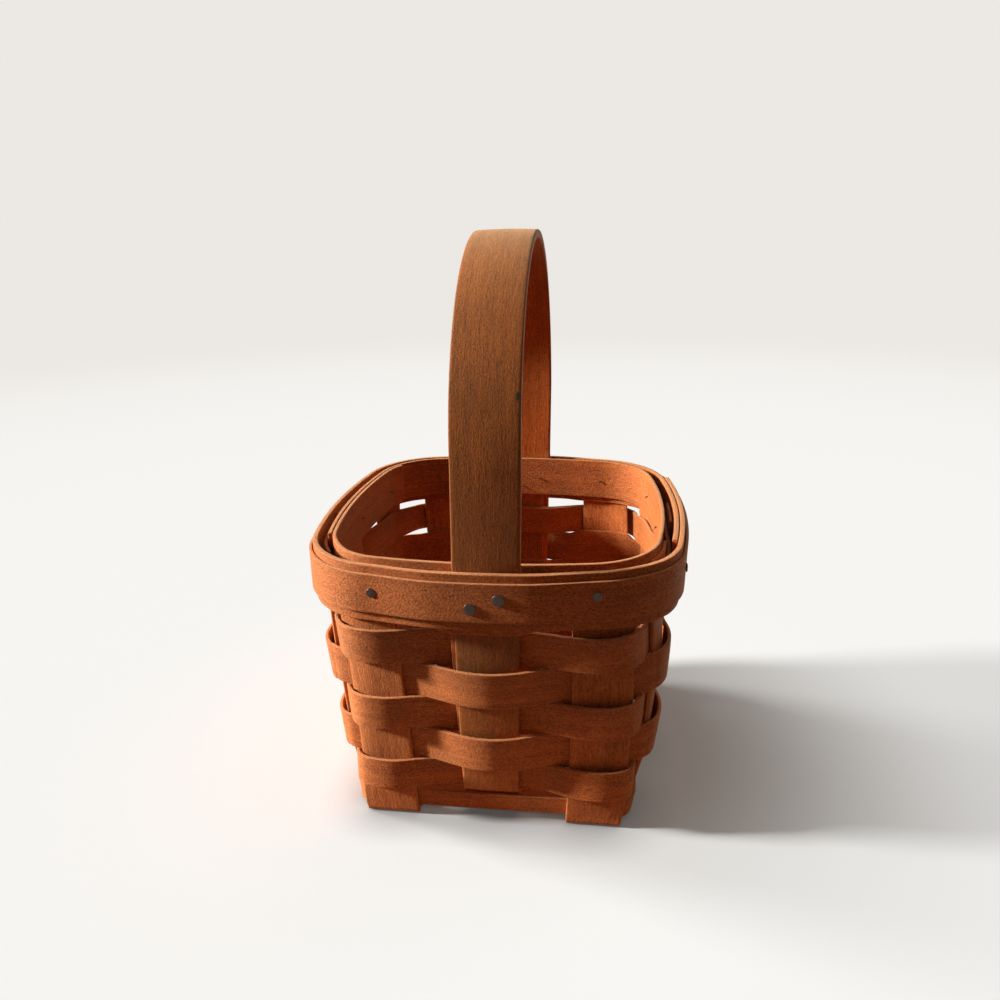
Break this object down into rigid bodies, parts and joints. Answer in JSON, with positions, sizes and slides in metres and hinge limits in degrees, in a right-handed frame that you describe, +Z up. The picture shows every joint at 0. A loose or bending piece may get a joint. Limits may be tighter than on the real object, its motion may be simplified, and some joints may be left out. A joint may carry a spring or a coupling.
{
  "type": "square splint basket",
  "caption": "Small square splint basket with tapered woven walls, a rim of bent bands held by tacks, and a fixed hoop handle from front to back.",
  "frame": {"origin": "on the floor under the middle of the woven base", "axes": "+Z up, -Y out of the front wall, where the handle rises from the front wall to the back wall along Y"},
  "size_m": [0.1368, 0.1392, 0.2034],
  "materials": {
    "stake_wood": "red-brown stain, satin, straight vertical grain",
    "weaver_wood": "red-brown stain, satin, grain along the strip",
    "band_wood": "red-brown stain, satin, grain along the band",
    "handle_wood": "brown stain, satin, fine grain along the hoop",
    "tack_metal": "bronzed, satin"
  },
  "bodies": {
    "root": {"stake_front_to_back_left": "stake_wood", "stake_front_to_back_middle": "stake_wood", "stake_front_to_back_right": "stake_wood", "stake_left_to_right_front": "stake_wood", "stake_left_to_right_middle": "stake_wood", "stake_left_to_right_back": "stake_wood", "weaver_row_1": "weaver_wood", "weaver_row_2": "weaver_wood", "weaver_row_3": "weaver_wood", "weaver_row_4": "weaver_wood", "weaver_row_5": "weaver_wood", "weaver_row_6": "weaver_wood", "weaver_row_7": "weaver_wood", "rim_inner_band": "band_wood", "rim_outer_band": "band_wood", "rim_trim": "band_wood", "handle_hoop": "handle_wood", "tack_front_left": "tack_metal", "tack_front_handle_left": "tack_metal", "tack_front_handle_right": "tack_metal", "tack_front_right": "tack_metal", "tack_right_front": "tack_metal", "tack_right_middle": "tack_metal", "tack_right_back": "tack_metal", "tack_back_right": "tack_metal", "tack_back_handle_right": "tack_metal", "tack_back_handle_left": "tack_metal", "tack_back_left": "tack_metal", "tack_left_back": "tack_metal", "tack_left_middle": "tack_metal", "tack_left_front": "tack_metal"}
  },
  "joints": []
}
